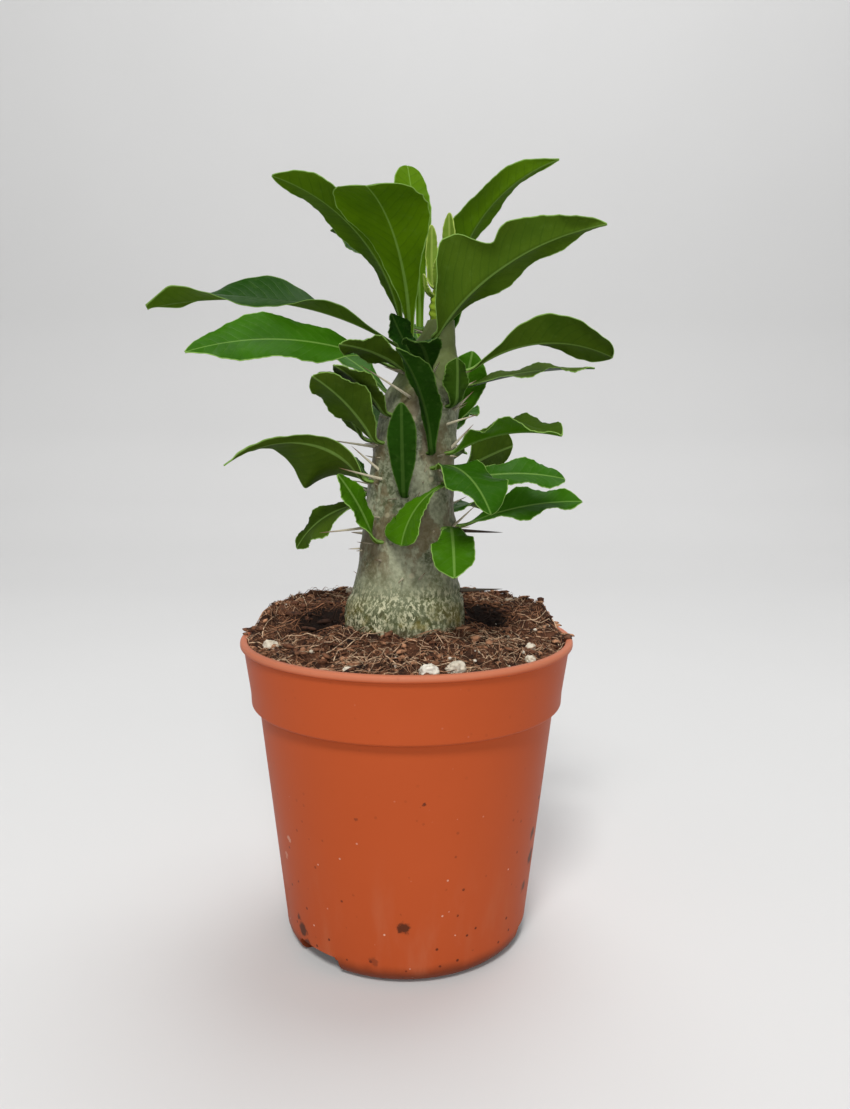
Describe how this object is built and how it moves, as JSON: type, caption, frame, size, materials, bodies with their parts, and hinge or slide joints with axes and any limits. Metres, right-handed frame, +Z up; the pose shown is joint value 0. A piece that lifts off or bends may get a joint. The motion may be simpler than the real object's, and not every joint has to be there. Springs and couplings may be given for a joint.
{
  "type": "potted pachypodium",
  "caption": "Thorny, swollen-stemmed pachypodium with long waved leaves, growing in the soil of a round tapering plastic nursery pot.",
  "frame": {"origin": "centre of the pot's flat underside, on the surface it stands on", "axes": "+Z up along the pot's axis; the plant's front, with the broad crown leaf that faces the viewer, is towards -Y; +X is to the viewer's right"},
  "size_m": [0.1587, 0.1408, 0.2813],
  "materials": {
    "pot_plastic": "moulded terracotta-coloured plastic with a soft sheen",
    "soil": "loose coconut fibre, peat and perlite, rough",
    "stem_bark": "silvery grey-green skin, fissured near the foot, waxy",
    "young_growth": "tender yellow-green, slightly downy",
    "leaf_green": "leathery glossy green with pale ribs and margins"
  },
  "bodies": {
    "root": {"pot": "pot_plastic", "soil": "soil", "stem": "stem_bark", "growing_tip": "young_growth", "leaf_crown_1": "leaf_green", "leaf_crown_2": "leaf_green", "leaf_crown_3": "leaf_green", "leaf_crown_4": "leaf_green", "leaf_crown_5": "leaf_green", "leaf_crown_6": "leaf_green", "leaf_left_1": "leaf_green", "leaf_left_2": "leaf_green", "leaf_left_3": "leaf_green", "leaf_left_4": "leaf_green", "leaf_left_5": "leaf_green", "leaf_right_1": "leaf_green", "leaf_right_2": "leaf_green", "leaf_right_3": "leaf_green", "leaf_right_4": "leaf_green", "leaf_right_5": "leaf_green", "leaf_right_6": "leaf_green", "leaf_right_7": "leaf_green", "leaf_right_8": "leaf_green", "leaf_front_1": "leaf_green", "leaf_front_2": "leaf_green", "leaf_front_3": "leaf_green", "leaf_front_4": "leaf_green", "leaf_front_5": "leaf_green", "leaf_front_6": "leaf_green", "leaf_front_7": "leaf_green", "leaf_front_8": "leaf_green", "leaf_front_9": "leaf_green", "leaf_front_10": "leaf_green", "leaf_front_11": "leaf_green", "leaf_front_12": "leaf_green", "leaf_back_1": "leaf_green", "leaf_back_2": "leaf_green", "leaf_back_3": "leaf_green", "leaf_back_4": "leaf_green", "leaf_back_5": "leaf_green", "leaf_back_6": "leaf_green", "leaf_back_7": "leaf_green", "leaf_back_8": "leaf_green", "leaf_back_9": "leaf_green", "leaf_back_10": "leaf_green"}
  },
  "joints": []
}
